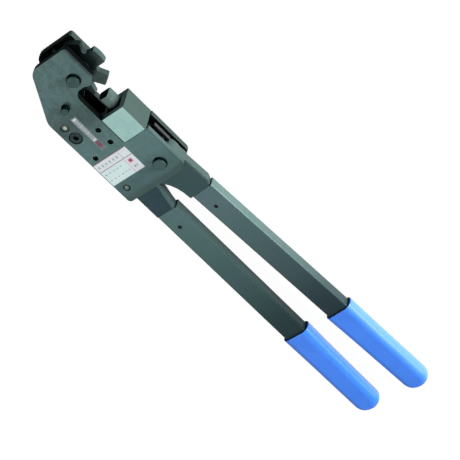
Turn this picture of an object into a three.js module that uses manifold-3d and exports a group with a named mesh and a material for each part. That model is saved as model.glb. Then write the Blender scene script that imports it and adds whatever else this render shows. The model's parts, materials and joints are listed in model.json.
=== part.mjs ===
// Long-handled mechanical crimping tool with a rotating turret die.
// Millimetres. The tool lies on its rear plate: +X is the open side of the jaw,
// +Y points to the head, +Z is the front plate's outer face.
// Drawing coordinates are measured from the turret axis on the rear face; the
// finished group is moved so that its origin is the bottom centre of its box.
import * as THREE from 'three';
import { mergeVertices } from 'three/addons/utils/BufferGeometryUtils.js';
import Module from 'manifold-3d';

const wasm = await Module();
wasm.setup();

// ---------------------------------------------------------------- dimensions
const ORIGIN = [-10.62, -275.0];         // drawing point that becomes x = 0, y = 0

const THICK = 37;                        // over both side plates
const REAR_T = 9.5;                      // rear plate 0 .. 9.5
const FRONT_Z = 29;                      // front plate 29 .. 37
const TOP_Y = 36;                        // top of the head
const BOT_Y = -161.2;                    // bottom of the plates
const LEFT_X = -66;
const RIGHT_X = 21.8;
const JAW_X = -13;                       // inner wall of the throat
const CHAMFER_W = 4.5;                   // long chamfer on the right-hand plate edge
const CHAMFER_H = 2.6;
const CORNER_R = 8;                      // bottom right corner of the plates

const TURRET_R = 34.8;
const TURRET_Z = [9.8, 18.6];            // the toothed disc
const TURRET_HUB = [15.6, 28.7];         // its hub: radius, top
// nests round the rim: [angle deg, half opening, half bottom, bottom radius]
const NESTS = [
  [-82.5, 8.6, 2.4, 22.5],
  [-31, 9.4, 3.6, 24.6],
  [28, 8.2, 3.8, 27.2],
  [85, 7.4, 3.0, 26.4],
  [122, 6.2, 2.4, 27.4],
  [157, 5.4, 2.0, 28.2],
  [-171, 4.6, 1.8, 28.8],
  [-141, 5.4, 2.0, 28.2],
  [-112, 6.0, 2.2, 27.4],
];
const TURRET_PIN_R = 7.7;
const PIN_TOP = 41.5;                    // both big pins stand proud of the front plate
const PIN_HOLE_R = 8.3;

const RAM_X = 2.6;                       // ram axis
const BLOCK = { x0: -12.3, x1: 20.9, y0: -94.8, y1: -57.7 };
const BORE = { x0: -7.8, x1: 13.0, z0: 9.5, z1: 29.0 };
const PUNCH_TIP = -39.4, PUNCH_FOOT = -56.4, PUNCH_FRONT_Z = 23.8;
const RAM = { x0: -7.4, x1: 12.6, z0: 9.8, z1: 28.7, top: -61.2, neck: -101 };

const PIVOT = [1.2, -139.4];             // main pivot
const PIVOT_R = 7.7;
const HUB_R = 20.2;
const CAM_K = 9;                         // involute cam: base radius, mm of ram per radian
const CAM_H = 29.9;                      // follower height at rest
const CAM_FROM = -6.5, CAM_TO = 51;      // opening angles that the involute serves
const LEVER_Z = [13.6, 28.6];
const TANG_Z = [15.8, 26.4];

const TUBE_W = 30, TUBE_T = 15, TUBE_R = 2.5, WALL = 1.9;
const TUBE_CZ = 21.1;                    // handle centre height
const TUBE_LEN = 372;
const MOUTH_Y = -201;
const FIXED_X = -46.3;                   // fixed handle centre line
const MOVING_X = 8.06;                   // moving handle centre line at the mouth
const SPLAY = THREE.MathUtils.degToRad(2.95);
const GRIP_W = 37.5, GRIP_T = 22, GRIP_R = 8.6;
const GRIP_FROM = -228, GRIP_LEN = 157;  // from the tube mouth

const CLEAR = 0.3;

// ---------------------------------------------------------------- helpers
function toManifold(geometry) {
  const g = geometry.clone();
  g.deleteAttribute('normal');
  g.deleteAttribute('uv');
  const m = mergeVertices(g, 1e-4);
  return new wasm.Manifold(new wasm.Mesh({
    numProp: 3,
    vertProperties: Float32Array.from(m.attributes.position.array),
    triVerts: Uint32Array.from(m.index.array),
  }));
}
function toGeometry(solid) {
  const mesh = solid.getMesh();
  const g = new THREE.BufferGeometry();
  g.setAttribute('position', new THREE.BufferAttribute(Float32Array.from(mesh.vertProperties), 3));
  g.setIndex(Array.from(mesh.triVerts));
  g.computeVertexNormals();
  return g;
}
// closed outline with a fillet radius on each corner: [x, y, r]
function outline(points, steps = 6) {
  const out = [];
  const n = points.length;
  for (let i = 0; i < n; i++) {
    const [px, py, r = 0] = points[i];
    if (!r) { out.push(new THREE.Vector2(px, py)); continue; }
    const a = new THREE.Vector2(...points[(i + n - 1) % n].slice(0, 2));
    const b = new THREE.Vector2(...points[(i + 1) % n].slice(0, 2));
    const p = new THREE.Vector2(px, py);
    const u = a.clone().sub(p).normalize();
    const v = b.clone().sub(p).normalize();
    const half = Math.acos(THREE.MathUtils.clamp(u.dot(v), -1, 1)) / 2;
    const d = r / Math.tan(half);
    const c = p.clone().add(u.clone().add(v).normalize().multiplyScalar(r / Math.sin(half)));
    const s = p.clone().addScaledVector(u, d);
    const e = p.clone().addScaledVector(v, d);
    let a0 = Math.atan2(s.y - c.y, s.x - c.x);
    let a1 = Math.atan2(e.y - c.y, e.x - c.x);
    let da = a1 - a0;
    while (da > Math.PI) da -= 2 * Math.PI;
    while (da < -Math.PI) da += 2 * Math.PI;
    const k = Math.max(2, Math.round(steps * Math.abs(da) / (Math.PI / 2)));
    for (let j = 0; j <= k; j++) {
      const t = a0 + (da * j) / k;
      out.push(new THREE.Vector2(c.x + r * Math.cos(t), c.y + r * Math.sin(t)));
    }
  }
  return out;
}
function arc(cx, cy, r, from, to, n) {
  const out = [];
  for (let i = 0; i <= n; i++) {
    const t = THREE.MathUtils.degToRad(from + ((to - from) * i) / n);
    out.push([cx + r * Math.cos(t), cy + r * Math.sin(t)]);
  }
  return out;
}
// prism along Z
function prism(points, z0, z1) {
  const pts = points.map((p) => (p.isVector2 ? p : new THREE.Vector2(p[0], p[1])));
  const g = new THREE.ExtrudeGeometry(new THREE.Shape(pts), { depth: z1 - z0, bevelEnabled: false, steps: 1 });
  g.translate(0, 0, z0);
  return toManifold(g);
}
// prism along Y of a section drawn in (x, z)
function prismY(points, y0, y1) {
  const pts = points.map((p) => (p.isVector2 ? p : new THREE.Vector2(p[0], p[1])));
  const g = new THREE.ExtrudeGeometry(new THREE.Shape(pts), { depth: y1 - y0, bevelEnabled: false, steps: 1 });
  g.rotateX(Math.PI / 2);                // z -> -y
  g.translate(0, y1, 0);
  return toManifold(g);
}
// prism along X of a section drawn in (y, z)
function prismX(points, x0, x1) {
  const pts = points.map((p) => (p.isVector2 ? p : new THREE.Vector2(p[0], p[1])));
  const g = new THREE.ExtrudeGeometry(new THREE.Shape(pts), { depth: x1 - x0, bevelEnabled: false, steps: 1 });
  // section (a, b, depth) -> (depth, a, b)
  const m = new THREE.Matrix4().set(0, 0, 1, x0, 1, 0, 0, 0, 0, 1, 0, 0, 0, 0, 0, 1);
  g.applyMatrix4(m);
  return toManifold(g);
}
function box(x0, x1, y0, y1, z0, z1) {
  const g = new THREE.BoxGeometry(x1 - x0, y1 - y0, z1 - z0);
  g.translate((x0 + x1) / 2, (y0 + y1) / 2, (z0 + z1) / 2);
  return toManifold(g);
}
// solid of revolution about a Z axis through (x, y): profile [[r, z], ...] closed on the axis
function turned(profile, x, y, seg = 28) {
  const pts = profile.map(([r, z]) => new THREE.Vector2(r, z));
  const g = new THREE.LatheGeometry(pts, seg);
  g.rotateX(Math.PI / 2);                // lathe axis Y -> Z
  g.translate(x, y, 0);
  return toManifold(g);
}
function rod(x, y, r, z0, z1, seg = 28, c = 0) {
  const p = c
    ? [[0, z0], [r - c, z0], [r, z0 + c], [r, z1 - c], [r - c, z1], [0, z1]]
    : [[0, z0], [r, z0], [r, z1], [0, z1]];
  return turned(p, x, y, seg);
}
function ring(x, y, ri, ro, z0, z1, seg = 28) {
  return turned([[ri, z0], [ro, z0], [ro, z1], [ri, z1], [ri, z0]], x, y, seg);
}
function roundRect(w, h, r, cx = 0, cy = 0, steps = 5) {
  return outline([
    [cx - w / 2, cy - h / 2, r], [cx + w / 2, cy - h / 2, r],
    [cx + w / 2, cy + h / 2, r], [cx - w / 2, cy + h / 2, r],
  ], steps);
}
function cut(a, ...rest) { return rest.reduce((s, b) => s.subtract(b), a); }
function join(a, ...rest) { return rest.reduce((s, b) => s.add(b), a); }

const MAT = {
  plate: { color: 0x667371, roughness: 0.55, metalness: 0.75 },
  lever: { color: 0x5b6968, roughness: 0.52, metalness: 0.75 },
  tube: { color: 0x4d5856, roughness: 0.5, metalness: 0.7 },
  block: { color: 0xa9bcb7, roughness: 0.38, metalness: 0.85 },
  turret: { color: 0x5d6f6b, roughness: 0.45, metalness: 0.8 },
  ram: { color: 0x7d8784, roughness: 0.4, metalness: 0.85 },
  pin: { color: 0x5f6a67, roughness: 0.4, metalness: 0.85 },
  bright: { color: 0xc3c8c0, roughness: 0.3, metalness: 0.9 },
  screw: { color: 0x23282a, roughness: 0.5, metalness: 0.7 },
  bronze: { color: 0xa07a45, roughness: 0.4, metalness: 0.85 },
  spring: { color: 0x8b9092, roughness: 0.35, metalness: 0.9 },
  grip: { color: 0x3f7fe0, roughness: 0.42, metalness: 0.0 },
  label: { color: 0xe9eeee, roughness: 0.6, metalness: 0.0 },
};
const tool = new THREE.Group();
const drawing = new THREE.Group();
drawing.position.set(-ORIGIN[0], -ORIGIN[1], 0);
tool.add(drawing);
function piece(name, solid, mat, parent = drawing) {
  const mesh = new THREE.Mesh(toGeometry(solid), new THREE.MeshStandardMaterial({ ...MAT[mat], name }));
  mesh.name = name;
  parent.add(mesh);
  return mesh;
}

// ---------------------------------------------------------------- fastener places
const BUTTON = [-33.4, -21.6];
const BUTTON_R = 4.6, BUTTON_TOP = 45.4;
const SPINE_RIVET = [-54, -41];
const BIG_SCREW = [-53.5, -58.2];
const BLOCK_SCREWS = [[-24.6, -65], [-24.5, -84.8]];
const SPINE_SCREW = [-54.7, -92];
const LEVER_RIVET = [-54.6, -143.3];
const HIDDEN_RIVET = [-49, -124];
const PAWL_PIN = [17.8, -121.2];

// ---------------------------------------------------------------- side plates
// one outline for both plates: C-shaped head, notch for the guide block, long body.
// inset moves the right-hand edge below the block in, which gives that edge its chamfer
const plateOutline = (inset = 0) => outline([
  [-30.8, TOP_Y, 14],
  [-66, -25.8, 18],
  [LEFT_X, BOT_Y, 4.5],
  [RIGHT_X - inset, BOT_Y, CORNER_R - inset * 0.6],
  [RIGHT_X - inset, BLOCK.y0 - 0.6, 0.8],
  [JAW_X, BLOCK.y0 - 0.6, 1.2],
  [JAW_X, -13.3, 10],
  [4.2, -13.3, 0],
  [8.2, -15.4, 2.5],
  [12.6, -15.0, 3],
  [RIGHT_X, -8.0, 3],
  [RIGHT_X, TOP_Y, 3.5],
], 6);
// slab through outlines of equal length at rising heights: [[points, z], ...]
function slab(levels) {
  const n = levels[0][0].length;
  const pos = [], idx = [];
  for (const [pts, z] of levels) for (const p of pts) pos.push(p.x, p.y, z);
  const ccw = !THREE.ShapeUtils.isClockWise(levels[0][0]);
  const tri = (a, b, c) => { if (ccw) idx.push(a, b, c); else idx.push(a, c, b); };
  for (let k = 0; k + 1 < levels.length; k++) {
    for (let i = 0; i < n; i++) {
      const j = (i + 1) % n, lo = k * n, hi = lo + n;
      tri(lo + i, lo + j, hi + j);
      tri(lo + i, hi + j, hi + i);
    }
  }
  const cap = (pts) => THREE.ShapeUtils.triangulateShape(pts, []);
  for (const [a, b, c] of cap(levels[0][0])) idx.push(a, c, b);
  const top = (levels.length - 1) * n;
  for (const [a, b, c] of cap(levels[levels.length - 1][0])) idx.push(top + a, top + b, top + c);
  const g = new THREE.BufferGeometry();
  g.setAttribute('position', new THREE.BufferAttribute(Float32Array.from(pos), 3));
  g.setIndex(idx);
  return toManifold(g);
}
const screwHoles = (z0, z1) => [...BLOCK_SCREWS, SPINE_SCREW].map(([x, y]) => rod(x, y, 3.5, z0, z1, 20));

let front = slab([[plateOutline(), FRONT_Z], [plateOutline(), THICK - CHAMFER_H], [plateOutline(CHAMFER_W), THICK]]);
front = cut(front,
  rod(0, 0, TURRET_PIN_R + CLEAR, FRONT_Z - 1, THICK + 1, 36),
  turned([[0, THICK - 1.6], [PIN_HOLE_R, THICK - 1.6], [PIN_HOLE_R + 0.5, THICK + 0.1], [PIN_HOLE_R + 0.5, THICK + 1], [0, THICK + 1]], 0, 0, 36),
  rod(...PIVOT, PIVOT_R + CLEAR, FRONT_Z - 1, THICK + 1, 36),
  turned([[0, THICK - 1.6], [PIN_HOLE_R, THICK - 1.6], [PIN_HOLE_R + 0.5, THICK + 0.1], [PIN_HOLE_R + 0.5, THICK + 1], [0, THICK + 1]], ...PIVOT, 36),
  rod(...BUTTON, BUTTON_R + 0.5, FRONT_Z - 1, THICK + 1, 28),
  rod(...SPINE_RIVET, 3.4, FRONT_Z - 1, THICK + 1, 24),
  turned([[0, THICK - 2.2], [3.4, THICK - 2.2], [5.6, THICK + 0.1], [5.6, THICK + 1], [0, THICK + 1]], ...SPINE_RIVET, 28),
  rod(...BIG_SCREW, 4.4, FRONT_Z - 1, THICK + 1, 24),
  rod(...BIG_SCREW, 8.3, THICK - 4.2, THICK + 1, 32),
  ...screwHoles(FRONT_Z - 1, THICK + 1),
  rod(...LEVER_RIVET, 3.4, FRONT_Z - 1, THICK + 1, 24),
  turned([[0, THICK - 1.6], [3.4, THICK - 1.6], [5.0, THICK + 0.1], [5.0, THICK + 1], [0, THICK + 1]], ...LEVER_RIVET, 28),
  rod(...HIDDEN_RIVET, 3.4, FRONT_Z - 1, THICK + 1, 20),
  rod(...PAWL_PIN, 2.1, FRONT_Z - 1, FRONT_Z + 3.5, 16),
);
piece('front_plate', front, 'plate');

let rear = slab([[plateOutline(CHAMFER_W), 0], [plateOutline(), CHAMFER_H], [plateOutline(), REAR_T]]);
rear = cut(rear,
  rod(0, 0, TURRET_PIN_R + CLEAR, -1, REAR_T + 1, 36),
  rod(...PIVOT, PIVOT_R + CLEAR, -1, REAR_T + 1, 36),
  rod(...SPINE_RIVET, 3.4, -1, REAR_T + 1, 24),
  rod(...BIG_SCREW, 4.4, -1, REAR_T + 1, 24),
  ...screwHoles(-1, REAR_T + 1),
  rod(...LEVER_RIVET, 3.4, -1, REAR_T + 1, 24),
  rod(...HIDDEN_RIVET, 3.4, -1, REAR_T + 1, 20),
  rod(...PAWL_PIN, 2.1, REAR_T - 3.5, REAR_T + 1, 16),
  // rebate along the inner edge of the sloping shoulder
  prism([[-21.5, 44], [-27.0, 34.4], [-62.5, -27.8], [-74, -27.8], [-42, 44]], REAR_T - 3.6, REAR_T + 1),
);
piece('rear_plate', rear, 'plate');

// ---------------------------------------------------------------- spine between the plates
const spinePts = [
  [-33.2, 20.2], [-36.4, 18.4], [-56.0, -16.2], [-62.6, -29.0], [-62.6, -117.5],
  [-36.5, -117.5], [-36.5, -40],
  ...arc(0, 0, 36.2, 208, 150, 14),
];
piece('spine_spacer', cut(prism(spinePts, REAR_T + CLEAR, FRONT_Z - CLEAR),
  rod(...BUTTON, BUTTON_R + 0.4, 11.5, FRONT_Z, 24),
  rod(...SPINE_RIVET, 3.4, 0, THICK, 24),
  rod(...BIG_SCREW, 4.4, 0, THICK, 24),
  rod(...SPINE_SCREW, 3.5, 0, THICK, 20),
), 'plate');

// ---------------------------------------------------------------- turret die
let turret = prism(arc(0, 0, TURRET_R, 0, 357.5, 143), ...TURRET_Z);
for (const [deg, open, bottom, r] of NESTS) {
  const t = THREE.MathUtils.degToRad(deg);
  const u = [Math.cos(t), Math.sin(t)], v = [-Math.sin(t), Math.cos(t)];
  const slope = (open - bottom) / (TURRET_R - r);
  const w = open + slope * 1.5;
  const at = (a, b) => [u[0] * a + v[0] * b, u[1] * a + v[1] * b];
  turret = turret.subtract(prism([
    at(TURRET_R + 1.5, -w), at(TURRET_R + 1.5, w),
    at(r, bottom), at(r - bottom * 0.42, bottom * 0.55), at(r - bottom * 0.42, -bottom * 0.55), at(r, -bottom),
  ].reverse(), 0, 40));
}
turret = cut(join(turret, rod(0, 0, TURRET_HUB[0], TURRET_Z[1] - 1, TURRET_HUB[1], 64, 0)), rod(0, 0, 9.8, 0, 40, 36));
piece('turret_die', turret, 'turret');
piece('turret_bush', ring(0, 0, TURRET_PIN_R + 0.3, 9.5, TURRET_Z[0], TURRET_HUB[1], 36), 'bronze');
piece('turret_pin', rod(0, 0, TURRET_PIN_R, 1.0, PIN_TOP, 36, 0.8), 'pin');

// button that frees the turret, on its spring
piece('index_button', turned([[0, 15], [BUTTON_R, 15], [BUTTON_R, BUTTON_TOP - 0.6], [BUTTON_R - 0.6, BUTTON_TOP], [0, BUTTON_TOP]], ...BUTTON, 28), 'pin');

// ---------------------------------------------------------------- springs
function coil(x, y, z, axis, r, wire, length, turns, perTurn = 12, sides = 6) {
  class Helix extends THREE.Curve {
    getPoint(t, target = new THREE.Vector3()) {
      const a = t * turns * 2 * Math.PI;
      const s = (t - 0.5) * length;
      const c = r * Math.cos(a), d = r * Math.sin(a);
      return axis === 'z' ? target.set(x + c, y + d, z + s)
        : axis === 'y' ? target.set(x + c, y + s, z + d) : target.set(x + s, y + c, z + d);
    }
  }
  const sec = [];
  for (let i = 0; i < sides; i++) {
    const a = (i / sides) * 2 * Math.PI;
    sec.push(new THREE.Vector2(wire * Math.cos(a), wire * Math.sin(a)));
  }
  return toManifold(new THREE.ExtrudeGeometry(new THREE.Shape(sec),
    { steps: Math.round(turns * perTurn), extrudePath: new Helix(), bevelEnabled: false }));
}
piece('index_spring', coil(...BUTTON, 13.25, 'z', 3.0, 0.4, 2.3, 1.6), 'spring');

// ---------------------------------------------------------------- guide block, ram and punch
const blockSection = outline([
  [BLOCK.x0, 0, 0.6], [BLOCK.x1, 0, 3.4], [BLOCK.x1, THICK, 3.4], [BLOCK.x0, THICK, 0.6],
], 4);
piece('guide_block', cut(
  join(prismY(blockSection, BLOCK.y0, BLOCK.y1),
    box(-33, BLOCK.x0 + 1, -92, -61, REAR_T + CLEAR, FRONT_Z - CLEAR)),
  box(BORE.x0, BORE.x1, BLOCK.y0 - 1, BLOCK.y1 + 1, BORE.z0, BORE.z1),
  ...screwHoles(0, THICK).slice(0, 2),
), 'block');

const ramPts = [
  [RAM.x0, RAM.top], [RAM.x0, RAM.neck], [-13.6, RAM.neck], [-13.6, PIVOT[1] + CAM_H + CLEAR],
  [RAM.x1, PIVOT[1] + CAM_H + CLEAR], [RAM.x1, RAM.top],
];
piece('ram', cut(prism(ramPts, RAM.z0, RAM.z1),
  box(RAM_X - 3.9, RAM_X + 3.9, -88, RAM.top + 1, 12.2, 25.8),
), 'ram');

// indenting punch: chamfered bar with a wedge nose across its width, on a guided stem
const punchSection = outline([
  [RAM_X - 7.5, 9.9, 0.8], [RAM_X + 7.5, 9.9, 0.8], [RAM_X + 7.5, 19.4, 0.8], [RAM_X + 4.0, PUNCH_FRONT_Z, 0],
  [RAM_X - 4.6, PUNCH_FRONT_Z, 0], [RAM_X - 7.5, 19.4, 0.8],
], 3);
const punchPlan = outline([
  [RAM_X - 9, PUNCH_FOOT, 0], [RAM_X + 9, PUNCH_FOOT, 0], [RAM_X + 9, -43.0, 0], [RAM_X + 7.5, -43.0, 0], [RAM_X + 6.8, PUNCH_TIP, 2.6],
  [RAM_X - 6.8, PUNCH_TIP, 2.6], [RAM_X - 7.5, -43.0, 0], [RAM_X - 9, -43.0, 0],
], 5);
const punchSide = outline([
  [PUNCH_FOOT, 9.0, 0], [-41.8, 9.0, 0], [-41.8, 9.9, 0], [PUNCH_TIP - 0.1, 12.6, 1.6], [PUNCH_TIP - 0.1, 15.6, 1.6],
  [-42.2, PUNCH_FRONT_Z, 0.6], [-42.2, 25, 0], [PUNCH_FOOT, 25, 0],
], 4);
piece('punch', join(
  prismY(punchSection, PUNCH_FOOT, PUNCH_TIP + 1).intersect(prism(punchPlan, 0, 40)).intersect(prismX(punchSide, RAM_X - 10, RAM_X + 10)),
  box(RAM_X - 3.6, RAM_X + 3.6, -86, PUNCH_FOOT + 1, 12.5, 22.4)), 'ram');

piece('ram_return_spring', coil(-10.6, -98.3, 19.2, 'y', 2.3, 0.4, 4.0, 3.5), 'spring');

// ---------------------------------------------------------------- holding pawl in the side window
const pawlPts = outline([
  [20.7, -104.2, 0.8], [14.9, -104.2, 0], [13.3, -107.2, 0], [14.9, -109.0, 0], [14.9, -121.6, 0],
  ...arc(...PIVOT, 21.6, 50, 27.2, 5).map(([x, y]) => [x, y, 0]),
  [20.7, -129.5, 0],
].map((p) => p), 3);
piece('holding_pawl', cut(prism(pawlPts, 13.9, 21.6), rod(...PAWL_PIN, 1.9, 0, 40, 16)), 'pin');
piece('pawl_pin', rod(...PAWL_PIN, 1.6, REAR_T - 3.2, FRONT_Z + 3.2, 16, 0.3), 'bright');
piece('pawl_spring', coil(...PAWL_PIN, 25.2, 'z', 2.3, 0.35, 3.6, 3), 'spring');

// ---------------------------------------------------------------- moving lever with its involute cam
const cam = [];
for (let i = 0; i <= 20; i++) {
  const deg = CAM_FROM + ((CAM_TO - CAM_FROM) * i) / 20;
  const t = THREE.MathUtils.degToRad(deg);
  const h = CAM_H - CAM_K * t;
  const x = -CAM_K * Math.cos(t) + h * Math.sin(t);
  const y = CAM_K * Math.sin(t) + h * Math.cos(t);
  cam.push([PIVOT[0] + x, PIVOT[1] + y]);
}
const hub = rod(...PIVOT, HUB_R, ...LEVER_Z, 64);
const camLobe = prism([
  ...cam, [PIVOT[0] + 13, PIVOT[1] + 14.5], [PIVOT[0] + 8, PIVOT[1]], [PIVOT[0] - 16, PIVOT[1]],
  [PIVOT[0] - 17.5, PIVOT[1] + 14],
].reverse(), ...LEVER_Z);
// the shoulder is parallel to the mouth of the splayed handle
const mouthAt = (x) => MOUTH_Y + (x - MOVING_X) * Math.tan(SPLAY);
const stub = prism(outline([
  [20.9, -137, 0], [PIVOT[0], PIVOT[1] + 4, 0], [-18.5, -143.5, 0], [-22.6, -151, 6], [-23.2, -162, 5],
  [-20.0, -169.3, 0], [-16.6, -174.2, 0], [-13.0, -182, 0], [-10.8, -191, 0], [-9.7, mouthAt(-9.7) + 0.4, 0],
  [19.4, mouthAt(19.4) + 0.4, 0], [23.6, -192.6, 1.5], [22.0, -163, 0], [20.9, -150, 0],
], 5), ...LEVER_Z);
const stubChamfer = (sign) => {
  const z = sign > 0 ? LEVER_Z[1] : LEVER_Z[0];
  const m = new THREE.Matrix4().makeRotationZ(THREE.MathUtils.degToRad(3.0)).setPosition(22.0, -163, 0);
  const w = 4.2, h = 2.4;
  const pts = [[-w, z], [0, z - sign * h], [3, z - sign * h], [3, z + sign * 2], [-w, z + sign * 2]];
  const g = new THREE.ExtrudeGeometry(new THREE.Shape((sign > 0 ? pts : pts.slice().reverse()).map((p) => new THREE.Vector2(...p))),
    { depth: 50, bevelEnabled: false });
  g.rotateX(Math.PI / 2);
  g.translate(0, 6, 0);
  g.applyMatrix4(m);
  return toManifold(g);
};
const movingFrame = new THREE.Matrix4().makeRotationZ(SPLAY).setPosition(MOVING_X, MOUTH_Y, 0);
function inMoving(solid) {
  const g = toGeometry(solid);
  g.applyMatrix4(movingFrame);
  return toManifold(g);
}
const tang = inMoving(box(-12.6, 12.6, -58, 6, ...TANG_Z));
const pinHoleMoving = inMoving(rod(-3.0, -26, 2.7, 0, 40, 20));
piece('moving_lever', cut(join(hub, camLobe, stub, tang),
  stubChamfer(1), stubChamfer(-1),
  rod(...PIVOT, PIVOT_R + 1.9, 0, 40, 32), pinHoleMoving), 'lever');
piece('pivot_bush', ring(...PIVOT, PIVOT_R + CLEAR, PIVOT_R + 1.6, LEVER_Z[0], LEVER_Z[1], 32), 'bronze');
piece('pivot_spacer', ring(...PIVOT, PIVOT_R + CLEAR, 14, REAR_T + CLEAR, LEVER_Z[0] - CLEAR, 32), 'bright');
piece('main_pivot_pin', rod(...PIVOT, PIVOT_R, 1.0, PIN_TOP, 36, 0.8), 'pin');

// ---------------------------------------------------------------- fixed lever
const fixedBody = prism(outline([
  [-63.2, -119.2, 1.5], [-63.2, -157.5, 3], [-60.9, -163.5, 0], [-60.9, MOUTH_Y + 0.4, 0], [-34.0, MOUTH_Y + 0.4, 0],
  [-32.4, -191.3, 0], [-29.6, -179.3, 0], [-27.2, -169.5, 0], [-27.0, -164.5, 3], [-31.5, -157.5, 4], [-36.5, -150, 4], [-36.5, -119.2, 1.5],
], 4), ...LEVER_Z);
const fixedTang = box(FIXED_X - 12.6, FIXED_X + 12.6, MOUTH_Y - 58, MOUTH_Y + 6, ...TANG_Z);
// chamfers along the curved inner edge of the fixed lever
function innerChamfer(a, b, sign) {
  const z = sign > 0 ? LEVER_Z[1] : LEVER_Z[0];
  const dx = b[0] - a[0], dy = b[1] - a[1];
  const len = Math.hypot(dx, dy);
  const w = 3.0, h = 2.0;
  const pts = [[-w, z], [0, z - sign * h], [3, z - sign * h], [3, z + sign * 2], [-w, z + sign * 2]];
  const g = new THREE.ExtrudeGeometry(new THREE.Shape((sign > 0 ? pts : pts.slice().reverse()).map((p) => new THREE.Vector2(...p))),
    { depth: len + 1.0, bevelEnabled: false });
  g.rotateX(Math.PI / 2);                // runs along -Y from 0
  g.translate(0, 0.5, 0);
  g.applyMatrix4(new THREE.Matrix4().makeRotationZ(Math.atan2(dx, -dy)).setPosition(a[0], a[1], 0));
  return toManifold(g);
}
const innerEdge = [[-27.0, -163], [-27.2, -169.5], [-29.6, -179.3], [-32.4, -191.3], [-34.0, MOUTH_Y + 0.4]];
const innerCuts = [];
for (let i = 0; i + 1 < innerEdge.length; i++) {
  innerCuts.push(innerChamfer(innerEdge[i], innerEdge[i + 1], 1), innerChamfer(innerEdge[i], innerEdge[i + 1], -1));
}
const FIXED_PIN = [FIXED_X - 2.6, MOUTH_Y - 25];
piece('fixed_lever', cut(join(cut(fixedBody, ...innerCuts), fixedTang),
  rod(...LEVER_RIVET, 3.4, 0, 40, 24), rod(...HIDDEN_RIVET, 3.4, 0, 40, 24),
  rod(...FIXED_PIN, 2.7, 0, 40, 20)), 'lever');
piece('fixed_lever_shim', cut(prism(outline([
  [-62.5, -120.5, 2], [-62.5, -158, 3], [-38.5, -158, 3], [-38.5, -120.5, 2]], 4), REAR_T + CLEAR, LEVER_Z[0] - CLEAR),
  rod(...LEVER_RIVET, 3.4, 0, 40, 24), rod(...HIDDEN_RIVET, 3.4, 0, 40, 24)), 'bright');

// ---------------------------------------------------------------- handles: rectangular tubes, pins and dipped grips
function tubeSolid(cx, y1, len) {
  return cut(prismY(roundRect(TUBE_W, TUBE_T, TUBE_R, cx, TUBE_CZ, 4), y1 - len, y1),
    prismY(roundRect(TUBE_W - 2 * WALL, TUBE_T - 2 * WALL, 1.0, cx, TUBE_CZ, 2), y1 - len - 1, y1 + 1));
}
function gripSolid(cx, y1) {
  const yEnd = y1 - GRIP_LEN;
  const section = roundRect(GRIP_W, GRIP_T, GRIP_R, cx, TUBE_CZ, 6);
  const plan = outline([
    [cx - GRIP_W / 2 - 1, y1 + 2, 0], [cx - GRIP_W / 2 - 1, y1 - 6, 0], [cx - GRIP_W / 2, y1 - 20, 0],
    [cx - GRIP_W / 2 + 1.2, yEnd, 15], [cx + GRIP_W / 2 - 1.2, yEnd, 15], [cx + GRIP_W / 2, y1 - 20, 0],
    [cx + GRIP_W / 2 + 1, y1 - 6, 0], [cx + GRIP_W / 2 + 1, y1 + 2, 0],
  ], 8);
  const side = outline([
    [y1, TUBE_CZ + GRIP_T / 2 + 1, 0], [yEnd, TUBE_CZ + GRIP_T / 2 + 0.3, 9], [yEnd, TUBE_CZ - GRIP_T / 2 - 0.3, 9],
    [y1, TUBE_CZ - GRIP_T / 2 - 1, 0],
  ], 6);
  let g = prismY(section, yEnd - 1, y1).intersect(prism(plan, 0, 50)).intersect(prismX(side, cx - 40, cx + 40));
  g = g.subtract(prismY(roundRect(TUBE_W + 0.6, TUBE_T + 0.6, TUBE_R + 0.3, cx, TUBE_CZ, 3), yEnd + 12, y1 + 1));
  return g;
}
const pinSolid = (x, y) => cut(rod(x, y, 2.4, TUBE_CZ - TUBE_T / 2 + 0.5, TUBE_CZ + TUBE_T / 2 - 0.5, 20, 0.4),
  rod(x, y, 1.1, TUBE_CZ + TUBE_T / 2 - 2.5, 40, 12));
const tubeHole = (x, y) => rod(x, y, 2.7, 0, 40, 20);

piece('fixed_tube', cut(tubeSolid(FIXED_X, MOUTH_Y, TUBE_LEN), tubeHole(...FIXED_PIN)), 'tube');
piece('fixed_tube_pin', pinSolid(...FIXED_PIN), 'pin');
piece('fixed_grip', gripSolid(FIXED_X, MOUTH_Y + GRIP_FROM), 'grip');

const moving = new THREE.Group();
moving.position.set(MOVING_X, MOUTH_Y, 0);
moving.rotation.z = SPLAY;
drawing.add(moving);
piece('moving_tube', cut(tubeSolid(0, 0, TUBE_LEN), tubeHole(-3.0, -26)), 'tube', moving);
piece('moving_tube_pin', pinSolid(-3.0, -26), 'pin', moving);
piece('moving_grip', gripSolid(0, GRIP_FROM), 'grip', moving);

// ---------------------------------------------------------------- fasteners
piece('spine_rivet', turned([
  [0, 0.4], [3.1, 0.4], [3.1, THICK - 2.0], [4.7, THICK - 0.5], [2.6, THICK - 0.1], [0, THICK]], ...SPINE_RIVET, 28), 'bright');
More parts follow.
